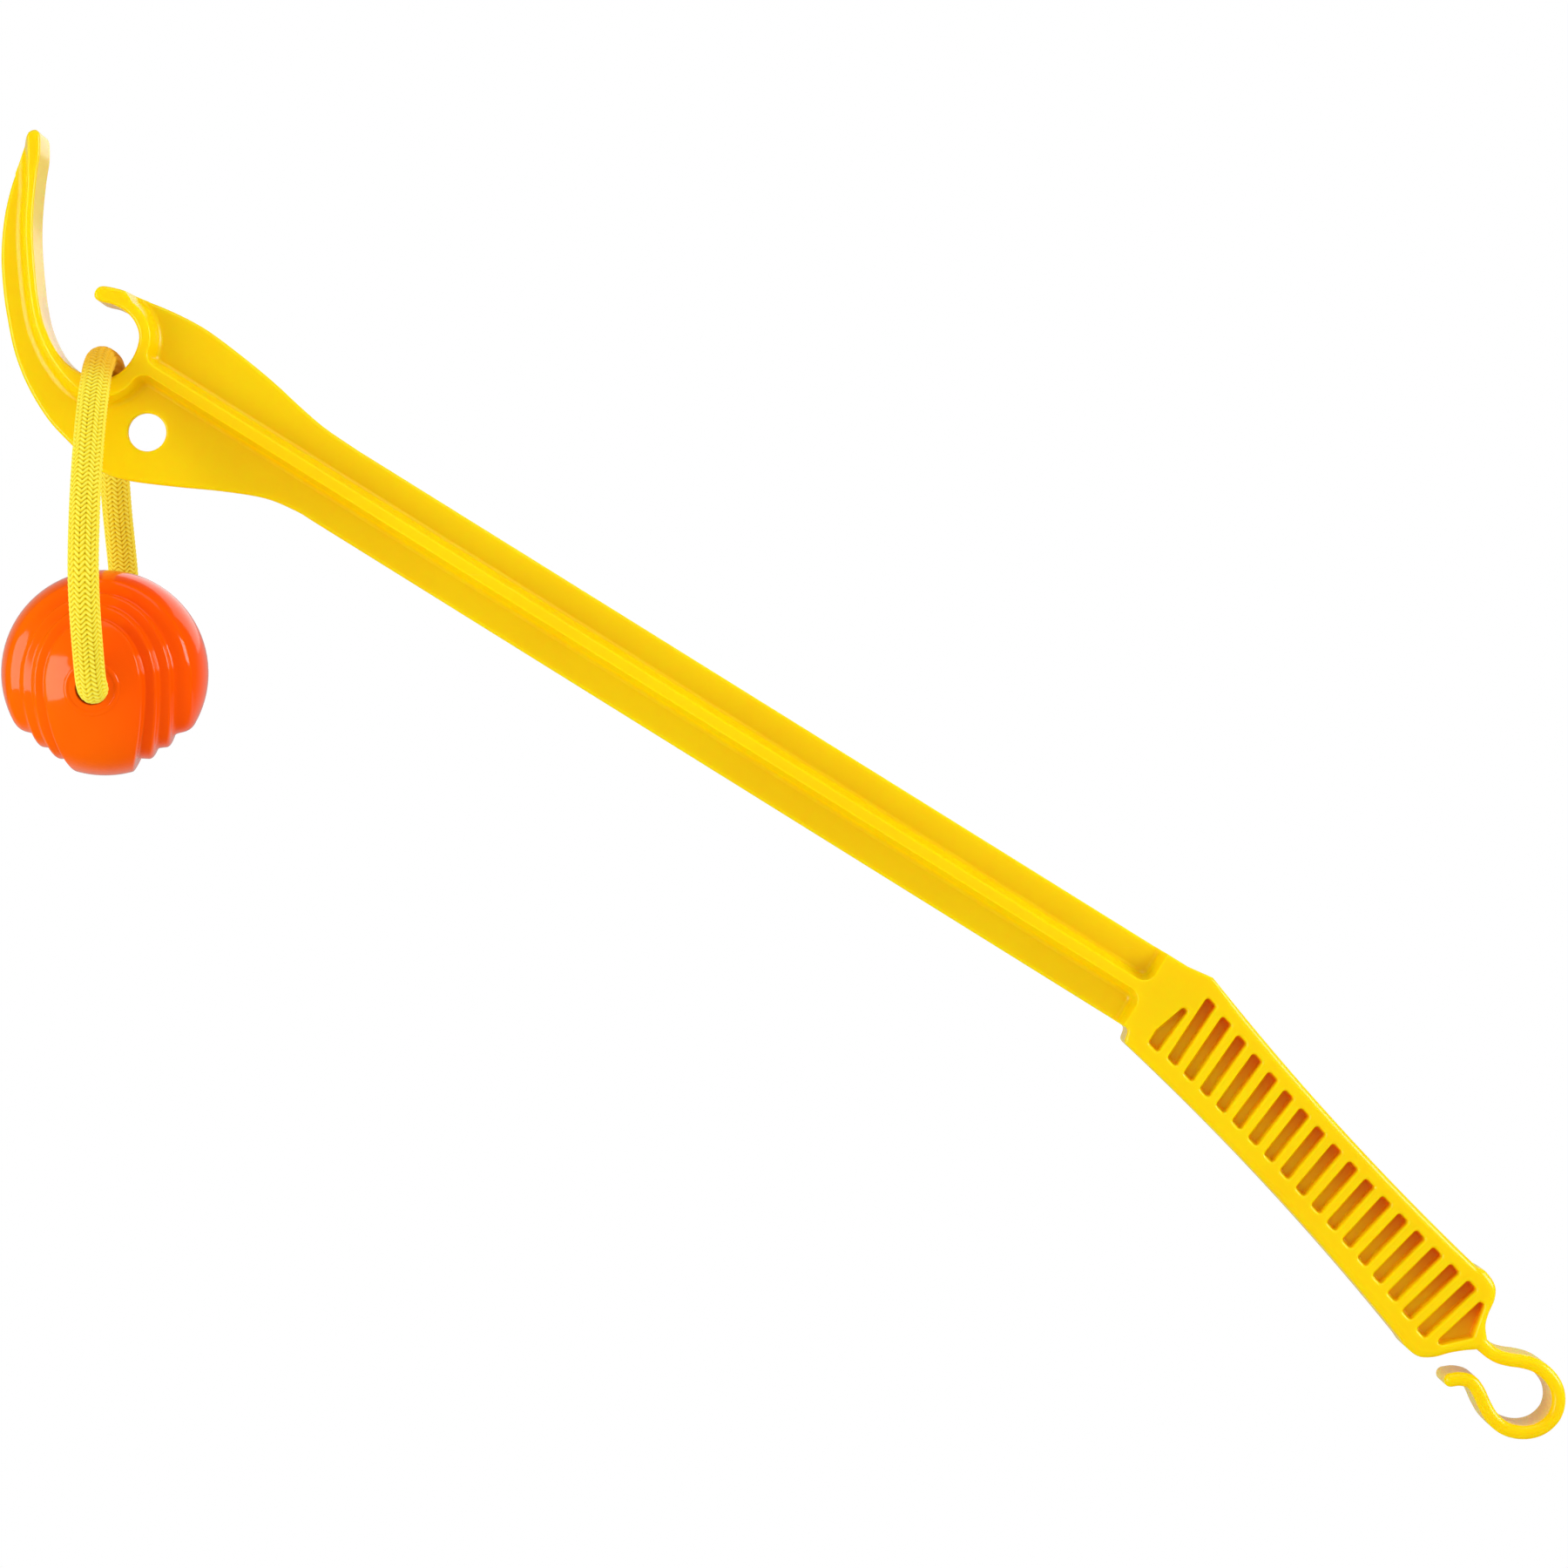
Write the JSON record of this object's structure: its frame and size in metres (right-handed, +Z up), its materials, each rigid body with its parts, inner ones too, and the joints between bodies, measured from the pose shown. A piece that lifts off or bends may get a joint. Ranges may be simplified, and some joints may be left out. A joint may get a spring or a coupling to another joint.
{
  "type": "dog ball thrower",
  "caption": "Ribbed plastic launcher with a curved claw, a slotted hand grip and a ring hook, carrying a ridged rubber ball on a loop of braided rope.",
  "frame": {"origin": "middle of the hand grip, half way through its thickness, where a hand holds the thrower", "axes": "+Z up in the pictured pose, +X from the head down to the grip's side, +Y through the launcher's thickness, away from the camera"},
  "size_m": [0.4856, 0.1068, 0.4051],
  "materials": {
    "launcher_plastic": "moulded, satin to semi-gloss yellow",
    "ball_rubber": "smooth glossy orange rubber",
    "rope_braid": "braided yellow cord"
  },
  "bodies": {
    "launcher_body": {"launcher": "launcher_plastic"},
    "loop_top": {"rope_bight": "rope_braid"},
    "loop_legs": {"rope_front_leg": "rope_braid", "rope_back_leg": "rope_braid", "rope_knot": "rope_braid"},
    "ball_body": {"ball": "ball_rubber"}
  },
  "joints": [
    {"name": "release", "type": "hinge", "parent": "launcher_body", "child": "loop_top", "pos_m": [-0.29127, 0, 0.29453], "axis": [0, 1, 0], "range_deg": [0, 100]},
    {"name": "swing", "type": "hinge", "parent": "loop_top", "child": "loop_legs", "pos_m": [-0.37507, 0, 0.24373], "axis": [0, 1, 0], "range_deg": [-30, 75]},
    {"name": "ball_spin", "type": "hinge", "parent": "loop_legs", "child": "ball_body", "pos_m": [-0.37507, 0, 0.15303], "axis": [0, 0.9839, 0.1788], "continuous": true}
  ]
}
